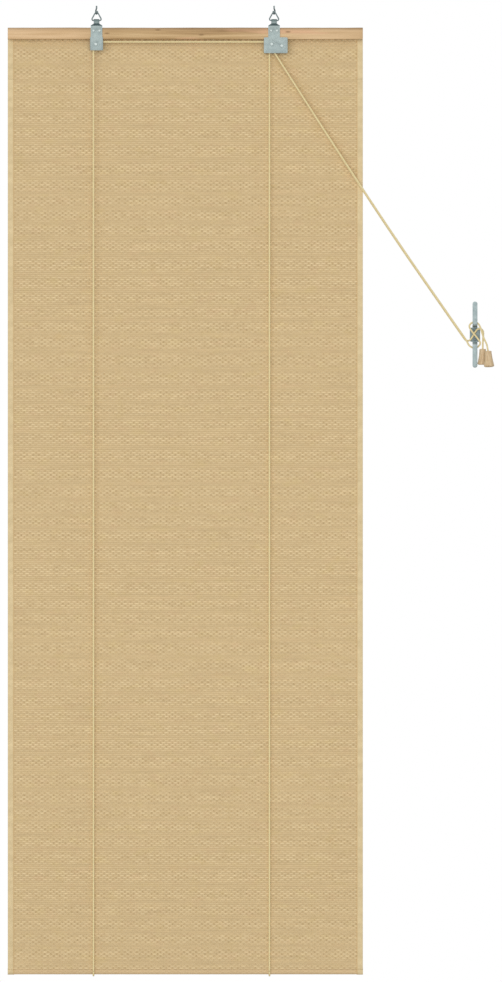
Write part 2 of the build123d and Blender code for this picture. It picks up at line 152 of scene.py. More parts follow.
# Cord places at the pulleys, the back lips and the hem
left_cord_x = -0.1552
right_cord_x = 0.1422
down_cord_x = 0.1502
front_groove_y = -0.01045
rear_groove_y = -0.00615
header_z = -0.0612
guide_z = -0.0786
straight_lead = 0.0100
anchor_y = 0.00695
anchor_z = -0.05776
hem_y = 0.00445
hem_z = -1.63185
front_loop_y = hem_y - loop_radius
back_loop_y = hem_y + loop_radius

# Pull cord routes, beside the cleat's middle
cleat_middle = (0.4895, 0.0, -0.5558)
left_exit = (0.15256, -0.01040, -0.08231)
right_exit = (0.15254, -0.00611, -0.08230)
left_belay = [
    (-0.1771, -0.0072, 0.2239),
    (-0.0222, -0.0043, 0.0013),
    (-0.0136, -0.0041, -0.0110),
    (-0.0104, -0.0037, -0.0184),
    (-0.0036, -0.0036, -0.0226),
    (0.0036, -0.0036, -0.0220),
    (0.0086, -0.0036, -0.0168),
    (0.0092, -0.0036, -0.0116),
    (-0.0106, -0.0036, 0.0116),
    (-0.0086, -0.0036, 0.0180),
    (-0.0026, -0.0036, 0.0216),
    (0.0040, -0.0036, 0.0204),
    (0.0086, -0.0044, 0.0144),
    (0.0110, -0.0066, 0.0060),
    (0.0154, -0.0130, -0.0080),
]
right_belay = [
    (-0.1783, -0.0033, 0.2231),
    (-0.0250, -0.00065, 0.0029),
    (-0.0164, -0.0005, -0.0094),
    (-0.0119, -0.0003, -0.0108),
    (-0.0075, -0.0002, -0.0090),
    (0.0027, -0.0002, 0.0086),
    (0.0071, -0.0003, 0.0104),
    (0.0116, -0.0008, 0.0091),
    (0.0144, -0.0016, 0.0053),
    (0.0139, -0.0030, -0.0050),
]

# Turned tassels
tassel_height = 0.0268
tassel_top_radius = 0.00545
tassel_bottom_radius = 0.00880
tassel_waist = 0.0006
tassel_top_edge = 0.0009
tassel_bottom_edge = 0.0026
tassel_bore = 0.0015
tassel_cup_radius = 0.0045
tassel_cup_depth = 0.0090
tassel_lead = 0.0080
tassel_sides = 56
tassel_edge_points = 7
tassel_taper_points = 16
left_tassel_top = (0.5025, -0.0040, -0.5800)
left_tassel_lean = (0.0, 0.0, -1.0)
right_tassel_top = (0.5118, -0.0205, -0.5837)
right_tassel_lean = (0.05, -0.10, -1.0)

# Head rail; each wave has a rate along X, a share of the waver and a start
rail_waver = 0.00012
rail_waves = [(23.0, 1.0, 0.0), (61.0, 0.6, 1.3), (157.0, 0.4, 0.0)]
rail_end_share = 0.95
rail_ease_share = 0.08
rail_rings = 160
rail_section_points = 48
rail_squareness = 12.0
rail_knot_places = [(-0.1324, -0.0468), (-0.0462, -0.0409), (0.0273, -0.0493), (0.1735, -0.0443)]
rail_knot_half_width = 0.0065
rail_knot_half_height = 0.0022

# Edge rounding of the metal
sheet_edge = 0.00018
cleat_edge = 0.00075
wire_edge = 0.00012
merge_distance = 0.000002
edge_angle_deg = 28.0
edge_segments = 2

# Patterns of the finishes, as repeats in a metre along X, Y and Z
sliver_rows = (9.0, 1.0, 330.0)
sliver_patches = (30.0, 1.0, 55.0)
sliver_grain = (60.0, 900.0, 2600.0)
tape_cloud = (60.0, 60.0, 90.0)
tape_threads = (1500.0, 1500.0, 2500.0)
cotton_fibres = (900.0, 900.0, 500.0)
rail_grain = (7.0, 90.0, 170.0)
rail_blush = (11.0, 20.0, 60.0)
turned_grain = (420.0, 420.0, 40.0)
zinc_mottle = (160.0, 160.0, 160.0)
nylon_cloud = (300.0, 300.0, 300.0)
floor_cloud = (2.0, 2.0, 2.0)

# Changes of tone along the rail, and of grime and painted shade at its top and bottom edges up it, as a
# scale and a shift
rail_length_ramp = (1.6, 0.5)
rail_height_ramp = (40.0, 2.4)

# Fine relief of the finishes
bamboo_relief = 0.0001
tape_relief = 0.0002
cotton_relief = 0.0003
wood_relief = 0.0002
zinc_relief = 0.0002

# Floor, lamps and light level
floor_z = -2.1000
floor_half_width = 5.0
floor_front = -4.0
floor_back = 6.0
sky_level = 0.46
key_level = 0.40
key_angle_deg = 30.0
key_place = (-3.1, -4.2, -0.1)
front_level = 0.99
front_angle_deg = 50.0
front_place = (0.1, -6.0, 0.2)

rail_low, rail_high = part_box("head_rail")
mat_low, mat_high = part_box("bamboo_mat")
lift = next(joint for joint in frame["joints"] if joint["name"] == "blind_lift")
raised_hem_z = hem_z + lift["range_m"][1]


def add_mesh(name, points, *face_groups, smooth=True):
    """A mesh object at the origin from an array of points and arrays of faces with equal corner counts.

    Smooth is one answer for all its faces, or one for each."""
    mesh = bpy.data.meshes.new(name)
    corners = np.concatenate([group.ravel() for group in face_groups]).astype(np.int32)
    sizes = np.concatenate([np.full(len(group), group.shape[1]) for group in face_groups])
    starts = (np.cumsum(sizes) - sizes).astype(np.int32)
    mesh.vertices.add(len(points))
    mesh.vertices.foreach_set("co", points.astype(np.float32).ravel())
    mesh.loops.add(len(corners))
    mesh.loops.foreach_set("vertex_index", corners)
    mesh.polygons.add(len(starts))
    mesh.polygons.foreach_set("loop_start", starts)
    mesh.update(calc_edges=True)
    mesh.polygons.foreach_set("use_smooth", np.full(len(starts), smooth))
    piece = bpy.data.objects.new(name, mesh)
    bpy.context.scene.collection.objects.link(piece)
    return piece


def dress(piece, finish, body=None, stands_for=()):
    """Gives a piece its finish, the body it rides on and the solids it stands for."""
    piece.data.materials.clear()
    piece.data.materials.append(finish)
    if body:
        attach(piece, body)
    if stands_for:
        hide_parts(*stands_for)
    return piece


def store(piece, name, values):
    """Keeps one number for each vertex as an attribute that a finish can read."""
    attribute = piece.data.attributes.new(name, "FLOAT", "POINT")
    attribute.data.foreach_set("value", values.astype(np.float32).ravel())


def grid_faces(rows, columns, closed_rows=False, closed_columns=False):
    """Four-cornered faces over points stored row by row; a closed direction joins back to its start."""
    row = np.arange(rows if closed_rows else rows - 1)
    column = np.arange(columns if closed_columns else columns - 1)
    row, column = np.meshgrid(row, column, indexing="ij")
    below = (row + 1) % rows
    beside = (column + 1) % columns
    corners = [(row, column), (row, beside), (below, beside), (below, column)]
    return np.stack([r * columns + c for r, c in corners], axis=-1).reshape(-1, 4)


def split_through(faces, heights):
    """The same faces, each turned so that its splitting line joins its higher pair of corners."""
    pairs = heights[faces[:, :2]] + heights[faces[:, 2:]]
    return np.where((pairs[:, 1] > pairs[:, 0])[:, None], np.roll(faces, 1, axis=1), faces)


def fan_faces(first, count, centre, reverse):
    """Triangles from one centre point to a closed ring of points."""
    here = first + np.arange(count)
    there = first + (np.arange(count) + 1) % count
    pair = (there, here) if reverse else (here, there)
    return np.stack([np.full(count, centre), *pair], axis=-1)


def unit(vectors):
    """Each vector divided by its own length."""
    return vectors / np.linalg.norm(vectors, axis=-1, keepdims=True)


def run_lengths(path):
    """How far along the path each of its points lies."""
    steps = np.linalg.norm(np.diff(path, axis=0), axis=1)
    return np.concatenate([[0.0], np.cumsum(steps)])


def evenly(path, step):
    """The same line with its points about one step apart."""
    run = run_lengths(path)
    places = np.linspace(0.0, run[-1], max(3, round(run[-1] / step) + 1))
    return np.stack([np.interp(places, run, path[:, axis]) for axis in range(3)], axis=1)


def carry(path, reference, radius, angles):
    """A ring at each point of a path: the point plus radius times the direction at each angle.

    The ring stands square to the path, and its first direction is square to the reference too."""
    along = unit(np.gradient(path, axis=0))
    side = unit(np.cross(np.asarray(reference, float), along))
    up = np.cross(along, side)
    around = np.cos(angles)[None, :, None] * side[:, None] + np.sin(angles)[None, :, None] * up[:, None]
    return path[:, None] + radius[..., None] * around


def closed_tube(name, rings):
    """A smooth skin over rings of points, with a flat fan over each end."""
    count, sides = rings.shape[:2]
    ends = rings[[0, -1]].mean(axis=1)
    points = np.concatenate([rings.reshape(-1, 3), ends])
    wall = grid_faces(count, sides, closed_columns=True)
    first_cap = fan_faces(0, sides, count * sides, True)
    last_cap = fan_faces((count - 1) * sides, sides, count * sides + 1, False)
    caps = np.concatenate([first_cap, last_cap])
    return add_mesh(name, points, wall, caps, smooth=np.arange(len(wall) + len(caps)) < len(wall))


def lathe(name, profile, top, lean):
    """A closed profile of (radius, depth) pairs turned about an axis from top along lean."""
    down = unit(np.asarray(lean, float))
    side = unit(np.cross((0.0, 1.0, 0.0), down))
    out = np.cross(down, side)
    turn = np.linspace(0.0, 2.0 * math.pi, tassel_sides, endpoint=False)
    around = np.cos(turn)[:, None] * side + np.sin(turn)[:, None] * out
    depth = profile[:, 1][:, None, None] * down
    points = np.asarray(top) + depth + profile[:, 0][:, None, None] * around[None]
    faces = grid_faces(len(profile), tassel_sides, closed_rows=True, closed_columns=True)
    return add_mesh(name, points.reshape(-1, 3), faces)


def smooth_route(points):
    """Points read along the smooth spline that has the route's points as its control points."""
    curve = bpy.data.curves.new("route", "CURVE")
    curve.dimensions = "3D"
    curve.resolution_u = route_steps
    spline = curve.splines.new("NURBS")
    spline.points.add(len(points) - 1)
    weighted = np.concatenate([np.asarray(points, float), np.ones((len(points), 1))], axis=1)
    spline.points.foreach_set("co", weighted.ravel())
    spline.order_u = 3
    spline.use_endpoint_u = True
    holder = bpy.data.objects.new("route", curve)
    mesh = bpy.data.meshes.new_from_object(holder)
    places = np.empty(len(mesh.vertices) * 3)
    mesh.vertices.foreach_get("co", places)
    bpy.data.objects.remove(holder)
    bpy.data.meshes.remove(mesh)
    bpy.data.curves.remove(curve)
    return places.reshape(-1, 3)


def laid_cord(name, path, reference):
    """A laid cord: a round section with a lobe for each strand, turning once in each lay length."""
    line = evenly(path, cord_lay / rings_per_lay)
    turn = np.linspace(0.0, 2.0 * math.pi, cord_sides, endpoint=False)
    twist = cord_strands * (turn[None, :] - 2.0 * math.pi * run_lengths(line)[:, None] / cord_lay)
    radius = cord_radius * (1.0 + cord_lobe_share * np.cos(twist))
    return closed_tube(name, carry(line, reference, radius, turn))


def cord_knot(name, middle, radius):
    """An overhand knot as a ball whose radius swells in slanting turns."""
    turn = np.linspace(0.0, 2.0 * math.pi, knot_sides, endpoint=False)
    tilt = np.linspace(math.pi, 0.0, knot_rows)[1:-1, None]
    swell = 1.0 - knot_swell_share + knot_swell_share * np.cos(knot_turns * turn + knot_slant * tilt)
    ball = radius * np.sin(tilt) * swell
    height = np.broadcast_to(radius * np.cos(tilt), ball.shape)
    points = np.stack([ball * np.cos(turn), ball * np.sin(turn), height], axis=-1)
    return closed_tube(name, points + np.asarray(middle))


# Finishes


def linear(red, green, blue):
    """A colour written as screen values from 0 to 255, in the linear values that a shader takes."""
    shares = np.array([red, green, blue]) / 255.0
    values = np.where(shares <= 0.04045, shares / 12.92, ((shares + 0.055) / 1.055) ** 2.4)
    return (*values, 1.0)


def grey(level):
    """A grey as a shader takes it, used for levels and shares."""
    return (level, level, level, 1.0)


class Finish:
    """A material and short ways to add and join its nodes."""

    def __init__(self, name, roughness, metallic=0.0, shine=0.5):
        self.material = bpy.data.materials.new(name)
        self.material.use_nodes = True
        self.tree = self.material.node_tree
        self.shader = self.tree.nodes["Principled BSDF"]
        self.shader.inputs["Roughness"].default_value = roughness
        self.shader.inputs["Metallic"].default_value = metallic
        self.shader.inputs["Specular IOR Level"].default_value = shine
        self.place = self.node("ShaderNodeTexCoord").outputs["Object"]

    def node(self, kind, **settings):
        """A node with its plain settings."""
        made = self.tree.nodes.new(kind)
        for name, value in settings.items():
            setattr(made, name, value)
        return made

    def join(self, output, socket):
        """A link from an output to an input."""
        self.tree.links.new(output, socket)

    def mapped(self, scale, shift):
        """Object coordinates moved and stretched."""
        mapping = self.node("ShaderNodeMapping")
        mapping.inputs["Scale"].default_value = scale
        mapping.inputs["Location"].default_value = shift
        self.join(self.place, mapping.inputs["Vector"])
        return mapping.outputs["Vector"]

    def noise(self, repeats, detail, shift=(0.0, 0.0, 0.0)):
        """Soft noise from 0 to 1, with so many repeats in a metre along each axis."""
        made = self.node("ShaderNodeTexNoise")
        made.inputs["Scale"].default_value = 1.0
        made.inputs["Detail"].default_value = detail
        self.join(self.mapped(repeats, shift), made.inputs["Vector"])
        return made.outputs["Fac"]

    def along(self, axis, scale, shift):
        """A number that grows along one axis: scale times the place, plus the shift."""
        split = self.node("ShaderNodeSeparateXYZ")
        self.join(self.mapped((scale, scale, scale), (shift, shift, shift)), split.inputs["Vector"])
        return split.outputs[axis]

    def attribute(self, name):
        """A number kept on the vertices."""
        return self.node("ShaderNodeAttribute", attribute_name=name).outputs["Fac"]

    def ramp(self, factor, stops):
        """Colours at places from 0 to 1."""
        made = self.node("ShaderNodeValToRGB")
        band = made.color_ramp
        band.elements[0].position, band.elements[0].color = stops[0]
        band.elements[1].position, band.elements[1].color = stops[-1]
        for place, colour in stops[1:-1]:
            band.elements.new(place).color = colour
        self.join(factor, made.inputs["Fac"])
        return made.outputs["Color"]

    def mixed(self, factor, first, second, kind="MIX"):
        """Two colours mixed by a factor; each may be a colour or another node's output."""
        made = self.node("ShaderNodeMix", data_type="RGBA", blend_type=kind)
        sockets = (made.inputs[0], made.inputs[6], made.inputs[7])
        for value, socket in zip((factor, first, second), sockets):
            if isinstance(value, (float, tuple)):
                socket.default_value = value
            else:
                self.join(value, socket)
        return made.outputs[2]

    def relief(self, height, distance, strength):
        """Fine relief from a height."""
        made = self.node("ShaderNodeBump")
        made.inputs["Distance"].default_value = distance
        made.inputs["Strength"].default_value = strength
        self.join(height, made.inputs["Height"])
        self.join(made.outputs["Normal"], self.shader.inputs["Normal"])

    def colour(self, output):
        """The surface colour."""
        self.join(output, self.shader.inputs["Base Color"])

    def vary_roughness(self, factor, low, high):
        """Roughness between two levels."""
        made = self.node("ShaderNodeMapRange")
        made.inputs["To Min"].default_value = low
        made.inputs["To Max"].default_value = high
        self.join(factor, made.inputs["Value"])
        self.join(made.outputs["Result"], self.shader.inputs["Roughness"])


def bamboo_finish(name, dip, swell, patches):
    """Split bamboo: painted light where a sliver comes forward and painted shade where it dips and along its
    edges, each row a little different, in soft patches.
    """
    finish = Finish(name, 0.62, shine=0.15)
    # Painted light and shade: the swell colour where a sliver comes forward, the dip colour where it dips
    # behind a warp or meets its row's edge.
    woven = finish.mixed(finish.attribute("painted_light"), dip, swell)
    rows = finish.noise(sliver_rows, 2.0)
    rows = finish.ramp(rows, [(0.30, grey(0.94)), (0.70, grey(1.05))])
    woven = finish.mixed(1.0, woven, rows, "MULTIPLY")
    for index, tint in enumerate(patches):
        soft = finish.noise(sliver_patches, 3.0, (3.1 * index, 0.0, 1.7 * index))
        soft = finish.ramp(soft, [(0.54, grey(0.0)), (0.74, grey(0.3))])
        woven = finish.mixed(soft, woven, tint, "MULTIPLY")
    finish.colour(woven)
    grain = finish.noise(sliver_grain, 3.0)
    finish.relief(grain, bamboo_relief, 0.35)
    return finish.material


def binding_finish():
    """Cream tape along the sides, with a fine cross weave."""
    finish = Finish("binding_tape", 0.75, shine=0.15)
    soft = finish.noise(tape_cloud, 3.0)
    tone = finish.ramp(soft, [(0.30, linear(219, 197, 153)), (0.70, linear(236, 214, 169))])
    away = finish.node("ShaderNodeVectorMath", operation="ABSOLUTE")
    finish.join(finish.place, away.inputs[0])
    split = finish.node("ShaderNodeSeparateXYZ")
    finish.join(away.outputs["Vector"], split.inputs["Vector"])
    inner = finish.node("ShaderNodeMapRange")
    inner.inputs["From Min"].default_value = mat_high.x - binding_width
    inner.inputs["From Max"].default_value = mat_high.x - (1.0 - binding_shade_width_share) * binding_width
    inner.inputs["To Min"].default_value = binding_shade_share
    inner.inputs["To Max"].default_value = 0.0
    finish.join(split.outputs["X"], inner.inputs["Value"])
    finish.colour(finish.mixed(inner.outputs["Result"], tone, linear(212, 176, 122)))
    threads = finish.noise(tape_threads, 1.0)
    finish.relief(threads, tape_relief, 0.5)
    return finish.material


def cotton_finish(name, dark, light):
    """Cotton with loose fibres."""
    finish = Finish(name, 0.85, shine=0.15)
    finish.shader.inputs["Sheen Weight"].default_value = 0.25
    fibres = finish.noise(cotton_fibres, 4.0)
    finish.colour(finish.ramp(fibres, [(0.25, dark), (0.75, light)]))
    finish.relief(fibres, cotton_relief, 0.4)
    return finish.material


def rail_finish():
    """Planed pine lath: long grain, pale ends, a browner middle, four small knots, and darker top and bottom
    edges that are partly grime and partly painted shade.
    """
    finish = Finish("rail_wood", 0.52)
    grain = finish.noise(rail_grain, 5.0)
    pale = finish.ramp(grain, [(0.30, linear(206, 168, 118)), (0.70, linear(238, 203, 158))])
    browns = [(0.28, linear(148, 110, 62)), (0.50, linear(191, 155, 104)), (0.74, linear(218, 185, 135))]
    brown = finish.ramp(grain, browns)
    stops = [(0.20, grey(0.0)), (0.30, grey(1.0)), (0.62, grey(1.0)), (0.86, grey(0.35))]
    middle = finish.ramp(finish.along("X", *rail_length_ramp), stops)
    wood = finish.mixed(middle, pale, brown)
    pink = finish.noise(rail_blush, 2.0, (4.0, 0.0, 2.0))
    pink = finish.ramp(pink, [(0.58, grey(0.0)), (0.70, grey(0.5))])
    wood = finish.mixed(pink, wood, linear(232, 178, 140))
    for x, z in rail_knot_places:
        shift = (-x / rail_knot_half_width, 0.0, -z / rail_knot_half_height)
        spot = finish.mapped((1.0 / rail_knot_half_width, 1.0, 1.0 / rail_knot_half_height), shift)
        flat = finish.node("ShaderNodeVectorMath", operation="MULTIPLY")
        flat.inputs[1].default_value = (1.0, 0.0, 1.0)
        finish.join(spot, flat.inputs[0])
        far = finish.node("ShaderNodeVectorMath", operation="LENGTH")
        finish.join(flat.outputs["Vector"], far.inputs[0])
        dark = finish.ramp(far.outputs["Value"], [(0.25, grey(0.75)), (0.95, grey(0.0))])
        wood = finish.mixed(dark, wood, linear(128, 92, 44))
    # Darker top and bottom edges: partly grime, partly painted shade where the rounded edges turn from the
    # light and where the rail's bottom edge meets its shadow line.
    levels = [(0.13, 0.10), (0.20, 0.0), (0.66, 0.0), (0.73, 0.12), (0.80, 0.28), (0.86, 0.48), (0.91, 0.80)]
    edge_grime_and_shade = [(place, grey(level)) for place, level in levels]
    edges = finish.ramp(finish.along("Z", *rail_height_ramp), edge_grime_and_shade)
    finish.colour(finish.mixed(edges, wood, linear(132, 104, 74)))
    finish.relief(grain, wood_relief, 0.35)
    return finish.material


def turned_wood_finish(name, dark, light):
    """Turned hardwood with upright grain."""
    finish = Finish(name, 0.48)
    grain = finish.noise(turned_grain, 4.0)
    finish.colour(finish.ramp(grain, [(0.28, dark), (0.72, light)]))
    finish.relief(grain, wood_relief, 0.25)
    return finish.material


def zinc_finish(name, dark, light, roughness, darkening=None):
    """Zinc-plated steel with a soft mottle; darkening is (axis, scale, shift, stops) for darker parts, real
    tarnish on some pieces and painted shade on others.
    """
    finish = Finish(name, roughness, 0.4)
    mottle = finish.noise(zinc_mottle, 4.0)
    tone = finish.ramp(mottle, [(0.30, dark), (0.70, light)])
    if darkening:
        *line, stops = darkening
        # Mixes in the darker tone: tarnish on the brackets' shoulders, painted shade on the cleat's foot.
        darker = finish.ramp(finish.along(*line), [(place, grey(level)) for place, level in stops])
        tone = finish.mixed(darker, tone, tarnish_and_shade_tone)
    finish.colour(tone)
    finish.vary_roughness(mottle, roughness, roughness + 0.2)
    finish.relief(mottle, zinc_relief, 0.15)
    return finish.material


def nylon_finish():
    """Off-white moulded nylon."""
    finish = Finish("pulley_nylon", 0.4)
    cloud = finish.noise(nylon_cloud, 2.0)
    finish.colour(finish.ramp(cloud, [(0.3, linear(214, 210, 198)), (0.7, linear(236, 232, 222))]))
    return finish.material


yellow_tint = (0.98, 1.0, 0.80, 1.0)
pink_tint = (1.0, 0.90, 0.94, 1.0)
# Each bamboo's first colour is painted shade for the dips, its second painted light for the crests.
bamboo = bamboo_finish("bamboo", linear(201, 173, 127), linear(245, 221, 175), [yellow_tint, pink_tint])
hem_bamboo = bamboo_finish("hem_bamboo", linear(214, 185, 141), linear(233, 206, 162), [pink_tint])
binding = binding_finish()
cotton = cotton_finish("cotton", linear(226, 206, 150), linear(252, 236, 186))
warp_cotton = cotton_finish("warp_cotton", linear(188, 161, 114), linear(212, 185, 138))
rail_wood = rail_finish()
dowel_wood = turned_wood_finish("dowel_wood", linear(190, 154, 104), linear(222, 188, 140))
tassel_wood = turned_wood_finish("tassel_wood", linear(194, 162, 121), linear(230, 206, 166))
# A darker zinc: real tarnish on the brackets' shoulders, painted shade on the cleat's foot.
tarnish_and_shade_tone = linear(72, 92, 94)
shoulder_stops = [(0.29, 0.0), (0.32, 1.0), (0.48, 1.0), (0.52, 0.35), (0.66, 0.35), (0.70, 0.70)]
shoulder_tarnish = ("Z", 50.0, 2.0, shoulder_stops)
# Painted shade on the cleat's foot, darker towards the wall, where the horns and the belayed cords shade it.
foot_painted_shade = ("Y", 100.0, 0.5, [(0.20, 0.0), (0.55, 0.5)])
zinc = zinc_finish("galvanised_sheet", linear(148, 162, 161), linear(172, 185, 183), 0.50, shoulder_tarnish)
wire_zinc = zinc_finish("hook_wire", linear(96, 110, 110), linear(134, 148, 150), 0.34)
bright = zinc_finish("bright_steel", linear(178, 189, 187), linear(202, 211, 208), 0.40)
cleat_zinc = zinc_finish("cleat_steel", linear(134, 149, 150), linear(167, 181, 182), 0.40, foot_painted_shade)
# The cleat's screws are painted dark: painted shade for screw heads that sit in the shade of the horns and
# cords.
shaded_screw_zinc = zinc_finish("cleat_screw_painted_shade", linear(80, 94, 98), linear(116, 130, 134), 0.40)
nylon = nylon_finish()


# Woven mat


def row_heights(top, bottom):
    """The middles of the rows of slivers between two heights."""
    rows = np.arange(round((first_row_z - mat_low.z) / sliver_pitch))
    heights = first_row_z - rows * sliver_pitch
    kept = (heights <= top) & (heights > bottom)
    return rows[kept], heights[kept]


def weave_share(heights):
    """How strongly each row weaves: from faint to full, in bands that wander a little."""
    wander = wander_angle * np.sin(2.0 * math.pi * heights / plain_band_wander)
    start = wander_angle * math.sin(2.0 * math.pi * plain_band_z / plain_band_wander)
    phase = 2.0 * math.pi * (heights - plain_band_z) / plain_band_pitch + wander - start
    return faint_weave_share + (1.0 - faint_weave_share) * np.abs(np.sin(phase / 2.0))


def over_under(rows):
    """Plus one where a sliver passes in front of a warp and minus one where it passes behind."""
    return 1.0 - 2.0 * ((rows[:, None] + np.arange(warp_count)[None, :]) % 2)


def slivers(name, top, bottom):
    """Closed slivers of lens section along X, each swung forward and back at every warp by the weave."""
    rows, heights = row_heights(top, bottom)
    bumps = rng.uniform(*bump_shares, (len(rows), warp_count))
    swing = over_under(rows) * weave_share(heights)[:, None] * bumps
    x = first_warp_x + np.arange(warp_count) * warp_pitch
    ring_y = np.array([-sliver_half_thickness, 0.0, sliver_half_thickness, 0.0])
    ring_z = np.array([0.0, -sliver_half_height, 0.0, sliver_half_height])
    shape = (len(rows), warp_count, 4)
    points = np.empty((*shape, 3))
    points[..., 0] = x[None, :, None]
    points[..., 1] = ring_y - weave_depth * swing[..., None]
    points[..., 2] = heights[:, None, None] + ring_z
    # Painted light on the front where a sliver comes forward, painted shade where it dips and along its top
    # and bottom edges.
    painted_light = np.full(shape, sliver_edge_painted_shade)
    painted_light[..., 0] = 0.5 + 0.5 * swing
    painted_light[..., 2] = 0.5 - 0.5 * swing
    last = (warp_count - 1) * 4
    ends = np.array([[3, 2, 1, 0], [last, last + 1, last + 2, last + 3]])
    faces = np.concatenate([grid_faces(warp_count, 4, closed_columns=True), ends])
    faces = faces[None] + (np.arange(len(rows)) * warp_count * 4)[:, None, None]
    faces = split_through(faces.reshape(-1, 4), painted_light.ravel())
    piece = add_mesh(name, points.reshape(-1, 3), faces, smooth=False)
    store(piece, "painted_light", painted_light)
    return piece


def warps(name, top, bottom):
    """Flat warp threads down the mat, each in front of the slivers that dip and behind those that rise."""
    rows, heights = row_heights(top, bottom)
    swing = (over_under(rows) * weave_share(heights)[:, None]).T
    x = first_warp_x + np.arange(warp_count) * warp_pitch
    points = np.empty((warp_count, len(rows), 2, 3))
    points[..., 0] = x[:, None, None] + np.array([-0.5, 0.5]) * warp_width
    points[..., 1] = (thread_depth * swing)[..., None]
    points[..., 2] = heights[None, :, None]
    faces = grid_faces(len(rows), 2)[:, ::-1]
    faces = faces[None] + (np.arange(warp_count) * len(rows) * 2)[:, None, None]
    return add_mesh(name, points.reshape(-1, 3), faces.reshape(-1, 4))


def side_binding(name, side, top, bottom):
    """Tape folded round one side of the mat: a rounded flat section that swells at every second row."""
    heights = np.linspace(top, bottom, round(2.0 * (top - bottom) / sliver_pitch) + 1)
    turn = np.linspace(0.0, 2.0 * math.pi, binding_sides, endpoint=False)
    squared = np.sign(np.cos(turn)) * np.abs(np.cos(turn)) ** binding_edge_power
    flat = np.sign(np.sin(turn)) * np.abs(np.sin(turn)) ** binding_face_power
    middle = side * (mat_high.x - binding_width / 2.0)
    beat = np.cos(math.pi * (heights - first_row_z) / sliver_pitch)
    swell = binding_half_thickness + binding_swell * beat
    rings = np.empty((len(heights), len(turn), 3))
    rings[..., 0] = middle + squared * binding_width / 2.0
    rings[..., 1] = -flat * swell[:, None]
    rings[..., 2] = heights[:, None]
    return closed_tube(name, rings)


def round_dowel(name, x, radius, turn):
    """A closed skin about the dowel's axis, faceted: a radius for each place along X and each turn."""
    points = np.empty((*radius.shape, 3))
    points[..., 0] = x[:, None]
    points[..., 1] = hem_y - radius * np.cos(turn)
    points[..., 2] = hem_z - radius * np.sin(turn)
    faces = grid_faces(*radius.shape, closed_rows=True, closed_columns=True)
    return add_mesh(name, points.reshape(-1, 3), split_through(faces, radius.ravel()), smooth=False)


def hem():
    """The mat's turned-up end: a tube round the dowel whose radius follows the weave both ways."""
    x = first_warp_x + np.arange(warp_count) * warp_pitch
    x[[0, -1]] = mat_low.x, mat_high.x
    turn = np.linspace(0.0, 2.0 * math.pi, 2 * hem_rows, endpoint=False)
    row = np.arange(2 * hem_rows)
    swing = over_under(row // 2).T * rng.uniform(*bump_shares, (warp_count, len(row)))
    radius = hem_outer + hem_bump * np.where(row % 2, -1.0, swing)
    # Painted light where a row swells out, painted shade where it dips and in the grooves between rows.
    painted_light = np.where(row % 2, hem_groove_painted_shade, 0.5 + 0.5 * swing)
    lip = np.full((1, len(turn)), hem_inner)
    radius = np.concatenate([lip, radius, lip])
    painted_light = np.concatenate([0.0 * lip, painted_light, 0.0 * lip])
    x = np.concatenate([x[:1], x, x[-1:]])
    piece = round_dowel("hem", x, radius, turn)
    store(piece, "painted_light", painted_light)
    return piece


def hem_binding(name, side):
    """The side tape where it is folded round the hem: a flat ring about the dowel's axis."""
    outer = hem_outer + hem_tape
    edge = mat_high.x + hem_tape_lap
    x = side * np.array([edge, edge, mat_high.x - binding_width, mat_high.x - binding_width])
    turn = side * np.linspace(0.0, 2.0 * math.pi, hem_tape_sides, endpoint=False)
    radius = np.array([hem_inner, outer, outer, hem_inner])
    return round_dowel(name, x, np.broadcast_to(radius[:, None], (len(x), len(turn))), turn)


def roll_up(piece):
    """Gives the piece its own copy of its mesh."""
    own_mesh(piece)


def mat():
    """The woven mat: a head and the bands below it on the blind, and a hem on the roll core."""
    top = mat_high.z
    low = hem_z + hem_join
    raised = raised_hem_z + hem_outer + hem_tape
    hanging_rows = int((first_row_z - raised) / sliver_pitch - 0.5)
    fixed = first_row_z - (hanging_rows + 0.5) * sliver_pitch
    edges = np.linspace(fixed, low, mat_bands + 1)
    sides = (("left", -1.0), ("right", 1.0))
    spans = [("mat_head", top, fixed)]
    spans += [(f"mat_{index + 1}", edges[index], edges[index + 1]) for index in range(mat_bands)]
    for name, span_top, span_bottom in spans:
        band = dress(slivers(name, span_top, span_bottom), bamboo, "blind", ["bamboo_mat"])
        if span_top <= fixed:
            roll_up(band)
    for ending, span_top, span_bottom in (("_head", top, fixed), ("", fixed, low)):
        threads = warps("warps" + ending, span_top + sliver_pitch, span_bottom)
        pieces = [dress(threads, warp_cotton, "blind")]
        for word, side in sides:
            tape = side_binding(f"{word}_binding{ending}", side, span_top, span_bottom)
            pieces.append(dress(tape, binding, "blind"))
        if span_top <= fixed:
            for piece in pieces:
                roll_up(piece)
    dress(hem(), hem_bamboo, "roll_core", ["bamboo_mat"])
    for word, side in sides:
        dress(hem_binding(f"{word}_hem_binding", side), binding, "roll_core")


# Cords


def straight_line(start, end):
    """Two ends of a tight run and its middle."""
    return np.linspace(start, end, 3)


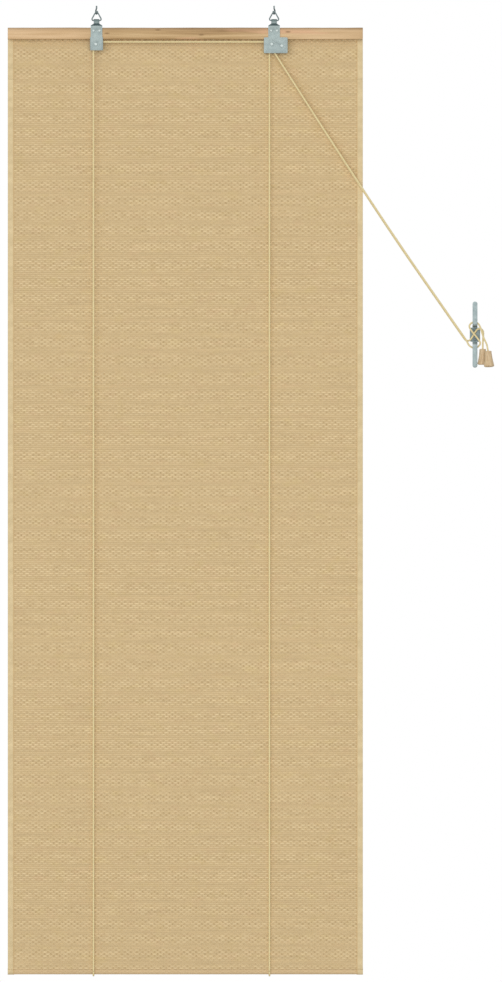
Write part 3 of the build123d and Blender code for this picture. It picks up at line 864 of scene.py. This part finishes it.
def lift_cords():
    """Front and back runs, the runs over the pulleys, the loops under the hem and the end knots."""
    guide_y = {"left": front_groove_y, "right": rear_groove_y}
    exits = {"left": left_exit, "right": right_exit}
    for word, x in (("left", left_cord_x), ("right", right_cord_x)):
        y = guide_y[word]
        run_end = hem_z + cord_end_gap
        share = (hem_z - join_z) / (hem_z - header_z)
        join_y = front_loop_y + share * (y - front_loop_y)
        front = laid_cord(
            f"{word}_front_run",
            straight_line((x, front_loop_y, run_end), (x, join_y, join_z)),
            (0.0, 1.0, 0.0),
        )
        dress(front, cotton, "blind", [f"{word}_lift_cord"])
        roll_up(front)
        route = [(x, join_y, join_z), (x, y, header_z)]
        if word == "left":
            route += [(x + straight_lead, y, header_z), (down_cord_x - straight_lead, y, header_z)]
        route += [(down_cord_x, y, header_z), (down_cord_x, y, header_z - straight_lead)]
        route += [(down_cord_x, y, guide_z), exits[word]]
        head = laid_cord(f"{word}_head_run", smooth_route(route), (0.0, 1.0, 0.0))
        dress(head, cotton, "blind", [f"{word}_lift_cord"])
        back = laid_cord(
            f"{word}_back_run",
            straight_line((x, back_loop_y, run_end), (x, anchor_y, anchor_z)),
            (0.0, 1.0, 0.0),
        )
        dress(back, cotton, "blind", [f"{word}_back_cord"])
        roll_up(back)
        stop = cord_knot(f"{word}_back_knot", (x, anchor_y, anchor_z), anchor_knot_radius)
        dress(stop, cotton, "blind", [f"{word}_back_cord"])
        turn = np.linspace(math.pi, 2.0 * math.pi, loop_points)
        across = hem_y + loop_radius * np.cos(turn)
        below = hem_z + loop_radius * np.sin(turn)
        arc = np.stack([np.full(loop_points, x), across, below], axis=1)
        loop = laid_cord(f"{word}_hem_loop", arc, (1.0, 0.0, 0.0))
        dress(loop, cotton, "cord_cradle", ["cord_loops"])


def pull_cord(word, exit_point, belay, top, lean):
    """A cord from the lock, belayed on the cleat, with its tail knotted inside a tassel."""
    hang = unit(np.asarray(lean, float))
    above = np.asarray(top) - hang * tassel_lead
    end = np.asarray(top) + hang * (tassel_height - tassel_cup_depth + knot_radius)
    turns = [tuple(np.add(cleat_middle, place)) for place in belay]
    points = [exit_point, *turns, tuple(above), tuple(end)]
    path = smooth_route(points)
    cord = laid_cord(f"{word}_pull_run", path, (0.0, 1.0, 0.0))
    dress(cord, cotton, None, [f"{word}_pull_cord"])
    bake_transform(cord)
    stop = dress(cord_knot(f"{word}_tail_knot", end, knot_radius), cotton, "fixings")


def tassel(name, top, lean):
    """A turned bell: rounded shoulders, a hollowed taper, a rounded foot and a cup for the knot."""
    quarter = np.linspace(0.0, math.pi / 2.0, tassel_edge_points)
    share = np.linspace(0.0, 1.0, tassel_taper_points)[1:-1]
    low = tassel_height - tassel_bottom_edge
    ceiling = tassel_height - tassel_cup_depth
    crown = tassel_top_radius - tassel_top_edge
    foot = tassel_bottom_radius - tassel_bottom_edge
    flare = tassel_top_radius + (tassel_bottom_radius - tassel_top_radius) * share
    taper = flare - tassel_waist * np.sin(math.pi * share)
    radius = [
        crown + tassel_top_edge * np.sin(quarter),
        taper,
        foot + tassel_bottom_edge * np.cos(quarter),
        [tassel_cup_radius, tassel_cup_radius, tassel_bore, tassel_bore],
    ]
    depth = [
        tassel_top_edge * (1.0 - np.cos(quarter)),
        tassel_top_edge + (low - tassel_top_edge) * share,
        low + tassel_bottom_edge * np.sin(quarter),
        [tassel_height, ceiling, ceiling, 0.0],
    ]
    profile = np.stack([np.concatenate(radius), np.concatenate(depth)], axis=1)
    piece = lathe(name + "_bell", profile, top, lean)
    return dress(piece, tassel_wood, "fixings", [name])


# Head rail and metal


def head_rail():
    """A lath whose rounded section wavers a little along X, with eased ends."""
    turn = np.linspace(0.0, 2.0 * math.pi, rail_section_points, endpoint=False)
    power = 2.0 / rail_squareness
    across = np.sign(np.cos(turn)) * np.abs(np.cos(turn)) ** power
    upright = np.sign(np.sin(turn)) * np.abs(np.sin(turn)) ** power
    half_depth = (rail_high.y - rail_low.y) / 2.0
    half_height = (rail_high.z - rail_low.z) / 2.0
    x = np.linspace(rail_low.x, rail_high.x, rail_rings)
    waver = rail_waver * sum(share * np.sin(rate * x + start) for rate, share, start in rail_waves)
    ease = np.ones(rail_rings)
    ease[[0, -1]] = rail_end_share
    reach = half_depth * rail_ease_share
    x[[1, -2]] = rail_low.x + reach, rail_high.x - reach
    rings = np.empty((rail_rings, rail_section_points, 3))
    rings[..., 0] = x[:, None]
    rings[..., 1] = (rail_low.y + half_depth) - across * half_depth * ease[:, None]
    rings[..., 2] = (rail_low.z + half_height) - upright * half_height * ease[:, None] + waver[:, None]
    return dress(closed_tube("rail_lath", rings), rail_wood, "blind", ["head_rail"])


def eased_copy(node, finish, width):
    """A joined copy of a solid's skin with its sharp edges rounded."""
    source = frame["nodes"][node]
    mesh = source.data.copy()
    mesh.name = node + "_eased"
    shell = bmesh.new()
    shell.from_mesh(mesh)
    bmesh.ops.remove_doubles(shell, verts=shell.verts, dist=merge_distance)
    shell.to_mesh(mesh)
    shell.free()
    mesh.shade_smooth()
    piece = bpy.data.objects.new(node + "_eased", mesh)
    bpy.context.scene.collection.objects.link(piece)
    rounding = piece.modifiers.new("rounding", "BEVEL")
    rounding.width = width
    rounding.segments = edge_segments
    rounding.limit_method = "ANGLE"
    rounding.angle_limit = math.radians(edge_angle_deg)
    rounding.use_clamp_overlap = True
    rounding.harden_normals = True
    return dress(piece, finish, source["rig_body"], [node])


def metalwork():
    """Hooks, rings, brackets, screws, axles, pulleys, the lock cam and the cleat."""
    for node, slot, finish, width in (
        ("screw_hooks", "hook_wire", wire_zinc, wire_edge),
        ("hanger_rings", "hook_wire", wire_zinc, wire_edge),
        ("left_bracket", "galvanised_sheet", zinc, sheet_edge),
        ("right_bracket", "galvanised_sheet", zinc, sheet_edge),
        ("bracket_screws", "bright_steel", bright, wire_edge),
        ("axle_rivets", "bright_steel", bright, wire_edge),
        ("left_pulley", "pulley_nylon", nylon, wire_edge),
        ("right_pulley", "pulley_nylon", nylon, wire_edge),
        ("lock_cam", "bright_steel", bright, wire_edge),
        ("cleat", "cleat_steel", cleat_zinc, cleat_edge),
        # The cleat's screws take the darker steel: painted shade.
        ("cleat_screws", "bright_steel", shaded_screw_zinc, wire_edge),
        ("mat_staples", "bright_steel", bright, wire_edge),
        ("bottom_dowel", "dowel_wood", dowel_wood, wire_edge),
    ):
        eased_copy(node, finish, width)


# Stage


def floor():
    """A plain pale floor below the hanging blind."""
    x, y = np.meshgrid([-floor_half_width, floor_half_width], [floor_front, floor_back])
    points = np.stack([x, y, np.full(x.shape, floor_z)], axis=-1).reshape(-1, 3)
    piece = add_mesh("floor", points, grid_faces(2, 2))
    finish = Finish("floor_paint", 0.9)
    cloud = finish.noise(floor_cloud, 2.0)
    finish.colour(finish.ramp(cloud, [(0.3, linear(244, 244, 242)), (0.7, linear(249, 249, 247))]))
    piece.data.materials.append(finish.material)


def light():
    """A white surround that shows to the camera and in reflections, an even sky and two soft lamps."""
    world = bpy.data.worlds.new("surround")
    bpy.context.scene.world = world
    world.use_nodes = True
    tree = world.node_tree
    sky = tree.nodes["Background"]
    sky.inputs["Color"].default_value = (1.0, 1.0, 1.0, 1.0)
    sky.inputs["Strength"].default_value = sky_level
    seen = tree.nodes.new("ShaderNodeBackground")
    seen.inputs["Color"].default_value = (1.0, 1.0, 1.0, 1.0)
    ray = tree.nodes.new("ShaderNodeLightPath")
    direct = tree.nodes.new("ShaderNodeMath")
    direct.operation = "MAXIMUM"
    tree.links.new(ray.outputs["Is Camera Ray"], direct.inputs[0])
    tree.links.new(ray.outputs["Is Glossy Ray"], direct.inputs[1])
    either = tree.nodes.new("ShaderNodeMath")
    either.operation = "MAXIMUM"
    tree.links.new(direct.outputs["Value"], either.inputs[0])
    tree.links.new(ray.outputs["Is Transmission Ray"], either.inputs[1])
    choice = tree.nodes.new("ShaderNodeMixShader")
    tree.links.new(either.outputs["Value"], choice.inputs["Fac"])
    tree.links.new(sky.outputs["Background"], choice.inputs[1])
    tree.links.new(seen.outputs["Background"], choice.inputs[2])
    tree.links.new(choice.outputs["Shader"], tree.nodes["World Output"].inputs["Surface"])
    sun("key", key_level, key_angle_deg, key_place)
    sun("front", front_level, front_angle_deg, front_place)


def sun(name, level, angle_deg, place):
    """A soft even lamp that shines from a place towards the middle of the view."""
    lamp = bpy.data.lights.new(name, "SUN")
    lamp.energy = level
    lamp.angle = math.radians(angle_deg)
    stand = bpy.data.objects.new(name, lamp)
    aim = np.asarray(view_centre) - np.asarray(place)
    tip = math.atan2(math.hypot(aim[0], aim[1]), -aim[2])
    stand.rotation_euler = (tip, 0.0, math.atan2(-aim[0], aim[1]))
    stand.location = place
    bpy.context.scene.collection.objects.link(stand)


def camera():
    """Straight on to the mat, as far off as the lens needs to take in the photograph's frame."""
    view = bpy.data.cameras.new("camera")
    view.lens = lens_mm
    view.sensor_width = sensor_mm
    height = photo_height_px * metres_per_px
    distance = height / 2.0 * lens_mm / (sensor_mm / 2.0)
    seat = bpy.data.objects.new("camera", view)
    seat.location = (view_centre[0], -distance, view_centre[2])
    seat.rotation_euler = (math.pi / 2.0, 0.0, 0.0)
    view.clip_end = clip_share * distance
    bpy.context.scene.collection.objects.link(seat)
    bpy.context.scene.camera = seat


camera()
lift_cords()
left_tassel = tassel("left_tassel", left_tassel_top, left_tassel_lean)
right_tassel = tassel("right_tassel", right_tassel_top, right_tassel_lean)
pull_cord("left", left_exit, left_belay, right_tassel_top, right_tassel_lean)
pull_cord("right", right_exit, right_belay, left_tassel_top, left_tassel_lean)
mat()
head_rail()
metalwork()
floor()
light()
bpy.context.scene.view_settings.view_transform = "Standard"
